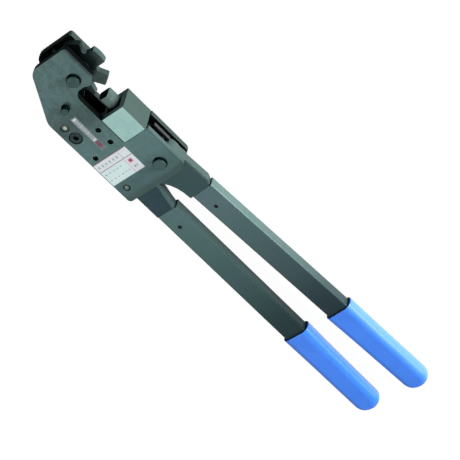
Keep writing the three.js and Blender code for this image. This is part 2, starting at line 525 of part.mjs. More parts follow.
// large socket screw in its counterbore
const hex = (x, y, r, z0, z1) => prism(arc(x, y, r, 0, 300, 5), z0, z1);
piece('frame_screw', cut(turned([
  [0, 0.6], [4.1, 0.6], [4.1, THICK - 3.9], [7.6, THICK - 3.9], [7.6, THICK - 0.9], [7.0, THICK - 0.3], [0, THICK - 0.3]],
  ...BIG_SCREW, 32), hex(...BIG_SCREW, 3.6, THICK - 4.4, THICK + 1)), 'screw');
function smallScrew(name, x, y, zHead, zFoot) {
  piece(name, cut(rod(x, y, 3.2, zFoot, zHead, 20, 0.4), hex(x, y, 1.7, zHead - 2, zHead + 1)), 'screw');
}
smallScrew('block_screw_upper_front', ...BLOCK_SCREWS[0], THICK - 2.6, 19.6);
smallScrew('block_screw_lower_front', ...BLOCK_SCREWS[1], THICK - 2.6, 19.6);
smallScrew('spine_screw_front', ...SPINE_SCREW, THICK - 2.6, 19.6);
function rearScrew(name, x, y) {
  piece(name, cut(rod(x, y, 3.2, 2.2, 19.0, 20, 0.4), hex(x, y, 1.7, 0, 4.2)), 'screw');
}
rearScrew('block_screw_upper_rear', ...BLOCK_SCREWS[0]);
rearScrew('block_screw_lower_rear', ...BLOCK_SCREWS[1]);
rearScrew('spine_screw_rear', ...SPINE_SCREW);
piece('lever_rivet', turned([
  [0, 0.4], [3.1, 0.4], [3.1, THICK - 1.4], [4.2, THICK - 0.5], [2.4, THICK - 0.1], [0, THICK]], ...LEVER_RIVET, 28), 'bright');
piece('lever_rivet_upper', rod(...HIDDEN_RIVET, 3.1, 0.4, THICK - 0.4, 24, 0.3), 'bright');

// ---------------------------------------------------------------- printed labels on the front plate
piece('rating_label', box(-64.9, -15.7, -132.7, -97.8, THICK + 0.05, THICK + 0.3), 'label');
piece('name_strip', prism(roundRect(8.4, 52, 1.2, -36.9, -61.5, 3), THICK + 0.05, THICK + 0.25), 'plate');

export default tool;
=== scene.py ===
import json
import math

import bmesh
import bpy
from mathutils import Matrix, Vector


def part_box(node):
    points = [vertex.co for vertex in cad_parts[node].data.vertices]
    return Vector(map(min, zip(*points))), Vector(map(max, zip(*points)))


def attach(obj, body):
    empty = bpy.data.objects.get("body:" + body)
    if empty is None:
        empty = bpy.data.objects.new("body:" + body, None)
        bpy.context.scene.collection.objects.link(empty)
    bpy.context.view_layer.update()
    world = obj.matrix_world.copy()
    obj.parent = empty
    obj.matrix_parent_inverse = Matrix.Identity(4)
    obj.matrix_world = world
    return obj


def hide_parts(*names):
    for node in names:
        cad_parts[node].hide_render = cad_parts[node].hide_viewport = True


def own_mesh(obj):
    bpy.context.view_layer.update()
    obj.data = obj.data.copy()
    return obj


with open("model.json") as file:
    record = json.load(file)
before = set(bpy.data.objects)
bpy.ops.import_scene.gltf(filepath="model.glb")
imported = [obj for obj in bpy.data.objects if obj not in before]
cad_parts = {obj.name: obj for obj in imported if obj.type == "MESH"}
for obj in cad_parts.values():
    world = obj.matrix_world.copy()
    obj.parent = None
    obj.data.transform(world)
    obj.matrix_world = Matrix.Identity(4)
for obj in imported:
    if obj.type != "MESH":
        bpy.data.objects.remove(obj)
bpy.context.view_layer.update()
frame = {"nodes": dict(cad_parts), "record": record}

NODES = frame["nodes"]
SCENE = bpy.context.scene
MM = 0.001


def rgb(r, g, b):
    """An 0-255 display colour as linear RGBA."""
    def lin(v):
        v /= 255.0
        return v / 12.92 if v <= 0.04045 else ((v + 0.055) / 1.055) ** 2.4
    return (lin(r), lin(g), lin(b), 1.0)


# ------------------------------------------------------------------ camera, floor and light
def camera():
    right = Vector((0.74522774, -0.65292613, -0.13536281))
    down = Vector((-0.44024777, -0.63424327, 0.63554494))
    ahead = Vector((-0.50081685, -0.41403254, -0.76010495))
    eye = Vector((1.0470196, 0.8716856, 1.6063969))
    data = bpy.data.cameras.new("camera")
    data.sensor_fit = "HORIZONTAL"
    data.sensor_width = 36.0
    data.lens = 36.0 * 1800.0 / 460.0
    data.clip_start, data.clip_end = 0.05, 100.0
    cam = bpy.data.objects.new("camera", data)
    m = Matrix.Identity(4)
    for i in range(3):
        m[i][0], m[i][1], m[i][2], m[i][3] = right[i], -down[i], -ahead[i], eye[i]
    cam.matrix_world = m
    SCENE.collection.objects.link(cam)
    SCENE.camera = cam


def area(name, direction, distance, size, power, colour=(1, 1, 1), at=(0.0, 0.02, 0.02)):
    data = bpy.data.lights.new(name, "AREA")
    data.shape = "RECTANGLE"
    data.size, data.size_y = size
    data.energy = power
    data.color = colour
    o = bpy.data.objects.new(name, data)
    d = Vector(direction).normalized()
    o.location = Vector(at) + d * distance
    o.rotation_mode = "QUATERNION"
    o.rotation_quaternion = (-d).to_track_quat("-Z", "Y")
    o.visible_camera = False
    SCENE.collection.objects.link(o)
    return o


def studio():
    SCENE.view_settings.view_transform = "Standard"
    SCENE.view_settings.look = "None"
    SCENE.view_settings.exposure = 0.0
    SCENE.view_settings.gamma = 1.0

    world = bpy.data.worlds.new("studio")
    SCENE.world = world
    world.use_nodes = True
    nt = world.node_tree
    nt.nodes.clear()
    out = nt.nodes.new("ShaderNodeOutputWorld")
    bg = nt.nodes.new("ShaderNodeBackground")
    tc = nt.nodes.new("ShaderNodeTexCoord")
    dot = nt.nodes.new("ShaderNodeVectorMath")
    dot.operation = "DOT_PRODUCT"
    dot.inputs[1].default_value = Vector((-0.25, 0.95, -0.15)).normalized()
    nt.links.new(tc.outputs["Generated"], dot.inputs[0])
    ramp = nt.nodes.new("ShaderNodeMapRange")
    ramp.interpolation_type = "SMOOTHSTEP"
    ramp.inputs["From Min"].default_value = -0.25
    ramp.inputs["From Max"].default_value = 0.55
    ramp.inputs["To Min"].default_value = 0.34
    ramp.inputs["To Max"].default_value = 0.03
    nt.links.new(dot.outputs["Value"], ramp.inputs["Value"])
    # broad pale bounce from below on the open side, which lights the narrow side faces
    dot2 = nt.nodes.new("ShaderNodeVectorMath")
    dot2.operation = "DOT_PRODUCT"
    dot2.inputs[1].default_value = Vector((0.66, -0.36, -0.66)).normalized()
    nt.links.new(tc.outputs["Generated"], dot2.inputs[0])
    lobe = nt.nodes.new("ShaderNodeMapRange")
    lobe.interpolation_type = "SMOOTHSTEP"
    lobe.inputs["From Min"].default_value = 0.50
    lobe.inputs["From Max"].default_value = 0.95
    lobe.inputs["To Min"].default_value = 0.0
    lobe.inputs["To Max"].default_value = 1.5
    nt.links.new(dot2.outputs["Value"], lobe.inputs["Value"])
    total = nt.nodes.new("ShaderNodeMath")
    total.operation = "ADD"
    nt.links.new(ramp.outputs["Result"], total.inputs[0])
    nt.links.new(lobe.outputs["Result"], total.inputs[1])
    nt.links.new(total.outputs[0], bg.inputs["Strength"])
    bg.inputs["Color"].default_value = (0.96, 0.99, 1.0, 1.0)
    nt.links.new(bg.outputs["Background"], out.inputs["Surface"])

    area("key", (0.93, -0.16, 0.27), 2.4, (1.2, 0.9), 84.0, (1.0, 1.0, 0.985))
    area("front", (-0.40, -0.05, 0.90), 1.5, (0.9, 0.9), 13.0, (0.97, 1.0, 1.0), at=(-0.02, 0.16, 0.03))

    # pale floor: mostly self-lit white, so that the soft shadow stays light
    me = bpy.data.meshes.new("floor")
    s = 14.0
    me.from_pydata([(-s, -s, 0), (s, -s, 0), (s, s, 0), (-s, s, 0)], [], [(0, 1, 2, 3)])
    floor = bpy.data.objects.new("floor", me)
    floor.location.z = -0.0003
    SCENE.collection.objects.link(floor)
    m = bpy.data.materials.new("floor_white")
    m.use_nodes = True
    nt = m.node_tree
    nt.nodes.clear()
    out = nt.nodes.new("ShaderNodeOutputMaterial")
    add = nt.nodes.new("ShaderNodeAddShader")
    em = nt.nodes.new("ShaderNodeEmission")
    em.inputs["Color"].default_value = (1.0, 1.0, 1.0, 1.0)
    em.inputs["Strength"].default_value = 0.97
    di = nt.nodes.new("ShaderNodeBsdfDiffuse")
    di.inputs["Color"].default_value = (0.06, 0.06, 0.06, 1.0)
    nt.links.new(em.outputs[0], add.inputs[0])
    nt.links.new(di.outputs[0], add.inputs[1])
    nt.links.new(add.outputs[0], out.inputs["Surface"])
    me.materials.append(m)
    floor.visible_diffuse = False
    floor.visible_glossy = False
    floor.visible_transmission = False
    floor.visible_shadow = False


# ------------------------------------------------------------------ materials
class Mat:
    """A small helper that builds one procedural material."""

    def __init__(self, name):
        self.mat = bpy.data.materials.new(name)
        self.mat.use_nodes = True
        self.nt = self.mat.node_tree
        self.nt.nodes.clear()
        self.out = self.node("ShaderNodeOutputMaterial")
        self.p = self.node("ShaderNodeBsdfPrincipled")
        self.nt.links.new(self.p.outputs["BSDF"], self.out.inputs["Surface"])
        self._tc = None
        self.normal = None

    def node(self, kind):
        return self.nt.nodes.new(kind)

    def put(self, socket, value):
        if isinstance(value, bpy.types.NodeSocket):
            self.nt.links.new(value, socket)
        elif isinstance(value, (tuple, list)) and len(value) == 4 and socket.type == "VECTOR":
            socket.default_value = value[:3]
        else:
            socket.default_value = value

    def coords(self, scale=(1, 1, 1), turn=(0, 0, 0), shift=(0, 0, 0)):
        if self._tc is None:
            self._tc = self.node("ShaderNodeTexCoord")
        m = self.node("ShaderNodeMapping")
        m.inputs["Scale"].default_value = scale
        m.inputs["Rotation"].default_value = [math.radians(a) for a in turn]
        m.inputs["Location"].default_value = shift
        self.nt.links.new(self._tc.outputs["Object"], m.inputs["Vector"])
        return m.outputs["Vector"]

    def noise(self, vec, scale, detail=3.0, rough=0.55, distort=0.0):
        n = self.node("ShaderNodeTexNoise")
        n.inputs["Scale"].default_value = scale
        n.inputs["Detail"].default_value = detail
        n.inputs["Roughness"].default_value = rough
        n.inputs["Distortion"].default_value = distort
        self.nt.links.new(vec, n.inputs["Vector"])
        return n.outputs["Fac"]

    def voronoi(self, vec, scale, feature="F1", out="Distance"):
        n = self.node("ShaderNodeTexVoronoi")
        n.feature = feature
        n.inputs["Scale"].default_value = scale
        self.nt.links.new(vec, n.inputs["Vector"])
        return n.outputs[out]

    def range(self, value, a, b, c=0.0, d=1.0, smooth=True):
        n = self.node("ShaderNodeMapRange")
        n.interpolation_type = "SMOOTHSTEP" if smooth else "LINEAR"
        self.put(n.inputs["Value"], value)
        n.inputs["From Min"].default_value = a
        n.inputs["From Max"].default_value = b
        n.inputs["To Min"].default_value = c
        n.inputs["To Max"].default_value = d
        return n.outputs["Result"]

    def math(self, op, a, b=0.0, clamp=False):
        n = self.node("ShaderNodeMath")
        n.operation = op
        n.use_clamp = clamp
        self.put(n.inputs[0], a)
        self.put(n.inputs[1], b)
        return n.outputs[0]

    def mix(self, fac, a, b, blend="MIX"):
        n = self.node("ShaderNodeMix")
        n.data_type = "RGBA"
        n.blend_type = blend
        n.clamp_factor = True
        self.put(n.inputs["Factor"], fac)
        cols = [s for s in n.inputs if s.type == "RGBA"]
        self.put(cols[0], a)
        self.put(cols[1], b)
        return [s for s in n.outputs if s.type == "RGBA"][0]

    def bump(self, height, strength, distance):
        n = self.node("ShaderNodeBump")
        n.inputs["Strength"].default_value = strength
        n.inputs["Distance"].default_value = distance
        self.nt.links.new(height, n.inputs["Height"])
        if self.normal is not None:
            self.nt.links.new(self.normal, n.inputs["Normal"])
        self.normal = n.outputs["Normal"]
        self.nt.links.new(self.normal, self.p.inputs["Normal"])

    def edges(self, radius, lo=0.02, hi=0.22):
        """1 on worn edges, 0 on flats: where a rounded normal leaves the surface's own."""
        b = self.node("ShaderNodeBevel")
        b.samples = 4
        b.inputs["Radius"].default_value = radius
        g = self.node("ShaderNodeNewGeometry")
        d = self.node("ShaderNodeVectorMath")
        d.operation = "DOT_PRODUCT"
        self.nt.links.new(b.outputs["Normal"], d.inputs[0])
        self.nt.links.new(g.outputs["Normal"], d.inputs[1])
        return self.range(self.math("SUBTRACT", 1.0, d.outputs["Value"]), lo, hi)

    def facing(self, axis, lo, hi):
        """1 where the surface faces along the object's own axis."""
        if self._tc is None:
            self._tc = self.node("ShaderNodeTexCoord")
        n = self.node("ShaderNodeSeparateXYZ")
        self.nt.links.new(self._tc.outputs["Normal"], n.inputs[0])
        return self.range(n.outputs[axis], lo, hi)

    def along(self, axis, lo, hi, c=0.0, d=1.0):
        if self._tc is None:
            self._tc = self.node("ShaderNodeTexCoord")
        n = self.node("ShaderNodeSeparateXYZ")
        self.nt.links.new(self._tc.outputs["Object"], n.inputs[0])
        return self.range(n.outputs[axis], lo, hi, c, d)

    def open_air(self, distance):
        n = self.node("ShaderNodeAmbientOcclusion")
        n.samples = 4
        n.inputs["Distance"].default_value = distance
        return n.outputs["AO"]

    def radial(self, cx, cy, lo, hi):
        """0 inside radius lo of a Z axis through cx, cy, 1 beyond hi (metres)."""
        if self._tc is None:
            self._tc = self.node("ShaderNodeTexCoord")
        sub = self.node("ShaderNodeVectorMath")
        sub.operation = "SUBTRACT"
        sub.inputs[1].default_value = (cx, cy, 0.0)
        self.nt.links.new(self._tc.outputs["Object"], sub.inputs[0])
        flat = self.node("ShaderNodeVectorMath")
        flat.operation = "MULTIPLY"
        flat.inputs[1].default_value = (1.0, 1.0, 0.0)
        self.nt.links.new(sub.outputs[0], flat.inputs[0])
        ln = self.node("ShaderNodeVectorMath")
        ln.operation = "LENGTH"
        self.nt.links.new(flat.outputs[0], ln.inputs[0])
        return self.range(ln.outputs["Value"], lo, hi)

    def shade(self, col, mask, k):
        """col times k where mask is 1."""
        kk = k if isinstance(k, tuple) else (k, k, k)
        return self.mix(mask, col, self.mix(1.0, col, (*kk, 1.0), "MULTIPLY"))

    def set(self, **kw):
        names = {"colour": "Base Color", "metal": "Metallic", "rough": "Roughness", "coat": "Coat Weight",
                 "coat_rough": "Coat Roughness", "spec": "Specular IOR Level", "aniso": "Anisotropic",
                 "sheen": "Sheen Weight", "sub": "Subsurface Weight"}
        for k, v in kw.items():
            self.put(self.p.inputs[names[k]], v)
        return self


def steel(name, base, tint, metal=0.55, rough=(0.42, 0.6), grain=900.0, wear=0.5, worn=(150, 165, 160), spot=38.0,
          lines=None, bump=0.25, dark=0.72, masks=None, spec=0.5, crevice_shade=(0.010, 0.35)):
    """Phosphated, blackened or ground steel: two-tone clouding, a fine grain, drawn or ground lines, pale worn edges,
    and painted shade where surfaces close in.
    """
    m = Mat(name)
    v = m.coords()
    cloud = m.noise(v, spot, 3.0, 0.6, 0.6)
    col = m.mix(m.range(cloud, 0.34, 0.66), rgb(*base), rgb(*tint))
    speck = m.noise(v, grain, 2.0, 0.6)
    col = m.mix(m.range(speck, 0.30, 0.72, 0.0, 0.55), col, m.mix(1.0, col, (dark, dark, dark, 1.0), "MULTIPLY"))
    smear = m.noise(m.coords(shift=(0.31, 0.17, 0.05)), spot * 3.1, 4.0, 0.65, 1.4)
    r = m.range(smear, 0.3, 0.7, rough[0], rough[1])
    if lines:
        scale, amount = lines
        ln = m.noise(m.coords(scale=scale), 1.0, 4.0, 0.7)
        col = m.mix(m.range(ln, 0.35, 0.7, 0.0, amount), col, m.mix(1.0, col, (1.35, 1.35, 1.35, 1.0), "MULTIPLY"))
        r = m.math("ADD", r, m.range(ln, 0.3, 0.7, -0.05, 0.06))
        m.bump(ln, bump * 0.6, 0.00008)
    m.bump(speck, bump, 0.00006)
    if wear > 0:
        e = m.edges(0.0007)
        e = m.math("MULTIPLY", e, m.range(m.noise(v, 260.0, 3.0, 0.7), 0.30, 0.62, 0.25, 1.0))
        e = m.math("MULTIPLY", e, wear)
        col = m.mix(e, col, rgb(*worn))
    m.black = None
    if masks:
        col = masks(m, col)
    if crevice_shade:
        # painted shade: darker where surfaces close in on each other; unless a mask has set its own, the closest
        # corners also lose their sheen
        open_air = m.open_air(crevice_shade[0])
        col = m.shade(col, m.range(open_air, 0.85, 0.25), crevice_shade[1])
        if m.black is None:
            m.black = m.range(open_air, 0.55, 0.10)
    # the painted shade mask also takes away metal and specular sheen and roughens the surface
    if m.black is not None:
        metal = m.range(m.black, 0.0, 1.0, metal, 0.0, smooth=False)
        spec = m.range(m.black, 0.0, 1.0, spec, 0.04, smooth=False)
        r = m.math("MAXIMUM", r, m.math("MULTIPLY", m.black, 0.85))
    m.set(colour=col, metal=metal, rough=r, spec=spec)
    return m.mat


# painted shade and painted light: areas darkened, dulled or lightened by which way a surface faces and where it lies
# (metres in the tool's frame)
def front_plate_areas(m, col):
    # painted shade: the head's +X edge face is painted almost black and matte
    head_edge_shade = m.math("MULTIPLY", m.facing("X", 0.35, 0.6), m.along("Y", 0.176, 0.180))
    m.black = head_edge_shade
    col = m.shade(col, head_edge_shade, 0.05)
    # painted shade and painted light in bands along Y: darker at 0.21-0.25 m, lighter at 0.14-0.21 m, cooler and darker
    # below 0.15 m, darker still below 0.12 m
    col = m.shade(col, m.math("MULTIPLY", m.along("Y", 0.262, 0.236), m.along("Y", 0.205, 0.232)), 0.62)
    col = m.shade(col, m.math("MULTIPLY", m.along("Y", 0.222, 0.190), m.along("Y", 0.132, 0.158)), 1.30)
    col = m.shade(col, m.along("Y", 0.165, 0.140), (0.92, 0.97, 1.0))
    col = m.shade(col, m.along("Y", 0.126, 0.118), (0.70, 0.69, 0.65))
    # painted shade: a soft dark band along the head's right edge
    head_rim_shade = m.math("MULTIPLY", m.along("X", 0.02792, 0.03092), m.along("Y", 0.262, 0.272))
    col = m.shade(col, head_rim_shade, 0.36)
    # painted shade: +X faces below 0.18 m are darker
    return m.shade(col, m.math("MULTIPLY", m.facing("X", 0.2, 0.45), m.along("Y", 0.180, 0.176)), 0.85)


def rear_plate_areas(m, col):
    # painted shade: the inner (+Z) face is painted almost black and matte, the +X side darker and partly matte
    inner = m.facing("Z", 0.4, 0.7)
    side = m.facing("X", 0.4, 0.7)
    m.black = m.math("MAXIMUM", inner, m.math("MULTIPLY", side, 0.6))
    col = m.shade(col, inner, 0.05)
    return m.shade(col, side, 0.55)


def inner_areas(m, col):
    # painted shade: this mask is 1 on every face, so the whole spacer is darkened and made matte
    m.black = m.facing("Z", -2.0, -1.5)
    return m.shade(col, m.black, 0.25)


def block_areas(m, col):
    # painted shade: the +X side is darkened, tinted and made partly matte
    side = m.facing("X", 0.25, 0.75)
    m.black = m.math("MULTIPLY", side, 0.6)
    return m.shade(col, side, (0.165, 0.190, 0.178))


def punch_areas(m, col):
    # painted shade: the top (+Y) faces are painted dark and matte, and the facet between front and +X side is darkened
    bevel = m.math("MULTIPLY", m.facing("X", 0.30, 0.45), m.facing("Z", 0.30, 0.45))
    m.black = m.facing("Y", 0.3, 0.6)
    col = m.shade(col, m.black, 0.12)
    return m.shade(col, bevel, 0.45)


def pawl_areas(m, col):
    # painted shade: the pawl beyond 18 mm in Z, under the front plate, is painted dark and matte
    m.black = m.along("Z", 0.0180, 0.0188)
    return m.shade(col, m.black, 0.06)


def pin_areas(m, col):
    # painted shade: the pins' side walls are painted dark and matte
    m.black = m.facing("Z", 0.55, 0.25)
    return m.shade(col, m.black, 0.15)


def die_areas(m, col):
    # painted shade: the die above this height, deep between the plates, is painted dark and matte; the mark turns with
    # the die
    upper_shade = m.along("Y", 0.286, 0.292)
    m.black = m.math("MULTIPLY", upper_shade, 0.85)
    col = m.shade(col, upper_shade, 0.22)
    # painted shade: the front (+Z) faces are darker
    return m.shade(col, m.facing("Z", 0.5, 0.8), 0.45)


def tube_areas(side, side_matte_shade=0.0):
    def areas(m, col):
        # painted shade: the tube darkens towards the grip end
        col = m.shade(col, m.along("Y", 0.06, -0.135), (0.46, 0.52, 0.55))
        col = m.shade(col, m.along("Y", -0.070, -0.150), (0.48, 0.55, 0.58))
        # the +X side is multiplied by side: painted light on the moving tube, painted shade and less sheen on the fixed
        # tube
        face = m.facing("X", 0.5, 0.8)
        m.black = m.math("MULTIPLY", face, side_matte_shade)
        return m.shade(col, face, side)
    return areas


def moving_lever_areas(m, col):
    # painted light: the +X side is lightened and tinted
    return m.shade(col, m.facing("X", 0.2, 0.45), (2.2, 1.7, 1.45))


def fixed_lever_areas(m, col):
    # painted light on the +X side and on its chamfer band; the side also loses its sheen
    side = m.facing("X", 0.7, 0.9)
    m.black = m.math("MULTIPLY", side, 0.7)
    col = m.shade(col, side, (2.1, 1.5, 1.15))
    return m.shade(col, m.math("MULTIPLY", m.facing("X", 0.25, 0.45), m.facing("X", 0.85, 0.7)), (3.2, 2.3, 1.9))


def rivet_areas(cx, cy, r, k):
    def areas(m, col):
        return m.shade(col, m.radial(cx, cy, r * 0.75, r * 1.15), k)
    return areas


def vinyl(name, side):
    m = Mat(name)
    v = m.coords()
    cloud = m.noise(v, 28.0, 3.0, 0.55, 0.4)
    col = m.mix(m.range(cloud, 0.3, 0.7), rgb(50, 118, 228), rgb(56, 126, 236))
    scuff = m.noise(m.coords(scale=(260, 60, 260)), 1.0, 5.0, 0.72)
    col = m.mix(m.range(scuff, 0.60, 0.80, 0.0, 0.22), col, rgb(132, 178, 244))
    dirt = m.noise(m.coords(shift=(0.2, 0.4, 0.1)), 95.0, 4.0, 0.7, 0.8)
    col = m.mix(m.range(dirt, 0.58, 0.82, 0.0, 0.20), col, rgb(24, 62, 150))
    # painted highlight: the +X side takes the paler side colour
    col = m.mix(m.facing("X", 0.15, 0.95), col, rgb(*side))
    m.bump(m.noise(v, 1500.0, 2.0, 0.5), 0.22, 0.00008)
    m.bump(m.noise(v, 210.0, 2.0, 0.5), 0.10, 0.00030)
    m.set(colour=col, metal=0.0, rough=m.range(scuff, 0.3, 0.75, 0.34, 0.50), spec=0.5, coat=0.45, coat_rough=0.34, sub=0.0)
    return m.mat


def paper(name, colour, other, rough=0.42):
    m = Mat(name)
    v = m.coords()
    col = m.mix(m.range(m.noise(v, 130.0, 3.0, 0.6), 0.35, 0.7), rgb(*colour), rgb(*other))
    m.bump(m.noise(v, 900.0, 2.0, 0.5), 0.12, 0.00005)
    m.set(colour=col, metal=0.0, rough=m.range(m.noise(v, 300.0, 2.0, 0.5), 0.3, 0.7, rough - 0.06, rough + 0.08))
    return m.mat


PLATE = dict(metal=0.30, rough=(0.44, 0.58), grain=1400.0, wear=0.5, worn=(130, 150, 144), spot=30.0, lines=((500, 40, 500), 0.08),
             spec=0.3)
LEVER = dict(metal=0.25, rough=(0.42, 0.56), grain=700.0, wear=0.4, worn=(112, 134, 130), spot=30.0, bump=0.4, crevice_shade=(0.012, 0.22),
             spec=0.2)
TUBE = dict(metal=0.30, rough=(0.40, 0.54), grain=1300.0, wear=0.35, worn=(122, 142, 138), spot=22.0, lines=((900, 14, 900), 0.16),
            crevice_shade=(0.008, 0.4), spec=0.25)
MATS = {
    "front_plate": steel("plate_steel_front", (63, 90, 87), (67, 91, 92), masks=front_plate_areas, crevice_shade=None, **PLATE),
    "rear_plate": steel("plate_steel_rear", (64, 90, 84), (68, 90, 88), masks=rear_plate_areas, **PLATE),
    "plate_steel": steel("plate_steel_inner", (34, 42, 42), (30, 38, 40), masks=inner_areas, **PLATE),
    "lever_steel": steel("lever_steel", (44, 70, 71), (48, 70, 75), masks=moving_lever_areas, **LEVER),
    "fixed_lever": steel("lever_steel_fixed", (30, 57, 63), (36, 58, 66), masks=fixed_lever_areas, **LEVER),
    # the moving and fixed tubes are lit and shaded copies of one steel: painted light on the moving tube's side,
    # painted shade on the fixed tube's side
    "tube_steel": steel("tube_steel", (72, 99, 99), (76, 99, 103), masks=tube_areas((1.6, 1.5, 1.35)), **TUBE),
    "fixed_tube": steel("tube_steel_fixed", (69, 98, 97), (73, 98, 100), masks=tube_areas((0.46, 0.52, 0.50), 0.6), **TUBE),
    "ground_steel": steel("ground_steel", (138, 173, 169), (144, 176, 171), 0.25, (0.50, 0.62), 1600.0, 0.15, (160, 188, 182), 40.0,
                          lines=((60, 1500, 1500), 0.15), dark=0.9, masks=block_areas, spec=0.35, crevice_shade=(0.006, 0.5)),
    "die_steel": steel("die_steel", (58, 86, 80), (54, 78, 76), 0.30, (0.40, 0.54), 1200.0, 0.45, (118, 142, 132), 60.0,
                       masks=die_areas, crevice_shade=(0.030, 0.05), spec=0.25),
    "punch_steel": steel("punch_steel", (72, 98, 93), (78, 100, 96), 0.25, (0.44, 0.56), 1200.0, 0.55, (146, 170, 162), 60.0,
                         masks=punch_areas, spec=0.25),
    "ram_steel": steel("ram_steel", (30, 38, 38), (26, 34, 36), 0.4, (0.42, 0.54), 1200.0, 0.3, (70, 84, 80), 60.0,
                       lines=((900, 30, 900), 0.3), crevice_shade=(0.03, 0.06), spec=0.25),
    "pawl_steel": steel("pawl_steel", (50, 56, 60), (54, 58, 62), 0.25, (0.42, 0.54), 1200.0, 0.3, (84, 92, 92), 60.0,
                        crevice_shade=(0.012, 0.2), spec=0.3, masks=pawl_areas),
    "pin_steel": steel("pin_steel", (38, 66, 62), (36, 62, 60), 0.3, (0.44, 0.56), 1300.0, 0.2, (86, 108, 102), 90.0, crevice_shade=(0.004, 0.15),
                       spec=0.25, masks=pin_areas),
    "pivot_pin": steel("pin_steel_pivot", (52, 78, 76), (50, 76, 76), 0.3, (0.44, 0.56), 1300.0, 0.2, (86, 108, 102), 90.0,
                       crevice_shade=(0.004, 0.15), spec=0.3, masks=pin_areas),
    "bright_steel": steel("bright_steel", (168, 174, 166), (150, 160, 156), 0.75, (0.22, 0.34), 1500.0, 0.3, (225, 230, 222), 90.0,
                          dark=0.9),
    "spine_rivet": steel("spine_rivet_steel", (152, 166, 152), (146, 158, 146), 0.3, (0.40, 0.50), 1500.0, 0.0, (225, 230, 222), 90.0,
                         dark=0.9, masks=rivet_areas(-0.04338, 0.234, 0.0024, 0.14), crevice_shade=None, spec=0.3),
    "lever_rivet": steel("lever_rivet_steel", (92, 112, 107), (88, 106, 101), 0.35, (0.42, 0.52), 1500.0, 0.0, (150, 160, 156), 90.0,
                         dark=0.9, masks=rivet_areas(-0.04398, 0.1317, 0.0026, 0.12), crevice_shade=None, spec=0.3),
    "frame_screw": steel("frame_screw_steel", (26, 46, 46), (24, 42, 43), 0.3, (0.46, 0.58), 1500.0, 0.25, (62, 82, 80), 120.0,
                         crevice_shade=(0.004, 0.15), spec=0.25),
    "black_screw": steel("black_screw", (9, 12, 14), (14, 18, 20), 0.2, (0.5, 0.6), 1500.0, 0.15, (34, 42, 42), 120.0, spec=0.3),
    "tube_pin": steel("tube_pin_steel", (30, 40, 42), (34, 44, 46), 0.3, (0.44, 0.56), 1500.0, 0.2, (60, 72, 72), 120.0, spec=0.3),
    "spring_steel": steel("spring_steel", (46, 50, 50), (38, 42, 44), 0.6, (0.34, 0.46), 1500.0, 0.2, (80, 84, 82), 120.0),
    "bronze": steel("bronze", (136, 108, 66), (120, 92, 56), 0.8, (0.30, 0.44), 1300.0, 0.4, (190, 160, 110), 90.0),
}
# each grip's side colour is its painted highlight, paler on the moving grip than on the shaded fixed one
MATS["fixed_grip"] = vinyl("grip_vinyl_fixed", (38, 124, 230))
MATS["moving_grip"] = vinyl("grip_vinyl_moving", (72, 141, 224))


# ------------------------------------------------------------------ CAD nodes: materials and softened edges
def soften(o, width, segments=2, angle=32.0):
    """Small radius on the part's real edges. The part's own mesh isn't touched."""
    w = o.modifiers.new("weld", "WELD")
    w.merge_threshold = 0.000002
    d = o.modifiers.new("planar", "DECIMATE")
    d.decimate_type = "DISSOLVE"
    d.angle_limit = math.radians(0.4)
    b = o.modifiers.new("edge", "BEVEL")
    b.width = width
    b.segments = segments
    b.limit_method = "ANGLE"
    b.angle_limit = math.radians(angle)
    b.miter_outer = "MITER_ARC"
    b.use_clamp_overlap = True
    b.harden_normals = False
    n = o.modifiers.new("normals", "WEIGHTED_NORMAL")
    n.mode = "FACE_AREA"
    n.weight = 50
    n.keep_sharp = False


EDGE = {
    "front_plate": 0.45, "rear_plate": 0.45, "guide_block": 1.1, "fixed_lever": 0.5, "moving_lever": 0.5, "turret_die": 0.35,
    "ram": 0.3, "punch": 0.35, "spine_spacer": 0.3, "holding_pawl": 0.3, "fixed_tube": 0.25, "moving_tube": 0.25,
}
SLOT_OF = frame["record"].get("material_slots") or {}


def node_slot(name):
    for slot, info in (SLOT_OF.items() if isinstance(SLOT_OF, dict) else []):
        members = info.get("nodes", info) if isinstance(info, dict) else info
        if name in members:
            return slot
    return None


BY_NAME = {
    "front_plate": "front_plate", "rear_plate": "rear_plate", "spine_spacer": "plate_steel",
    "fixed_lever": "fixed_lever", "moving_lever": "lever_steel", "fixed_tube": "fixed_tube", "moving_tube": "tube_steel",
    "guide_block": "ground_steel", "turret_die": "die_steel", "punch": "punch_steel", "ram": "ram_steel",
    "turret_pin": "pin_steel", "main_pivot_pin": "pivot_pin", "fixed_tube_pin": "tube_pin", "moving_tube_pin": "tube_pin",
    "pawl_pin": "black_screw", "holding_pawl": "pawl_steel", "index_button": "pin_steel",
    "index_spring": "spring_steel", "ram_return_spring": "spring_steel", "pawl_spring": "spring_steel",
    "turret_bush": "bronze", "pivot_bush": "bronze", "pivot_spacer": "bright_steel", "fixed_lever_shim": "bright_steel",
    "spine_rivet": "spine_rivet", "lever_rivet": "lever_rivet", "lever_rivet_upper": "bright_steel", "frame_screw": "frame_screw",
}


def dress_nodes():
    for name, o in NODES.items():
        key = BY_NAME.get(name) or ("black_screw" if "screw" in name else None)
        if key is None:
            continue
        me = o.data
        if "custom_normal" in me.attributes:
            me.attributes.remove(me.attributes["custom_normal"])
        me.polygons.foreach_set("use_smooth", [True] * len(me.polygons))
        me.update()
        for s in o.material_slots:
            s.material = MATS[key]
        soften(o, EDGE.get(name, 0.2) * MM)


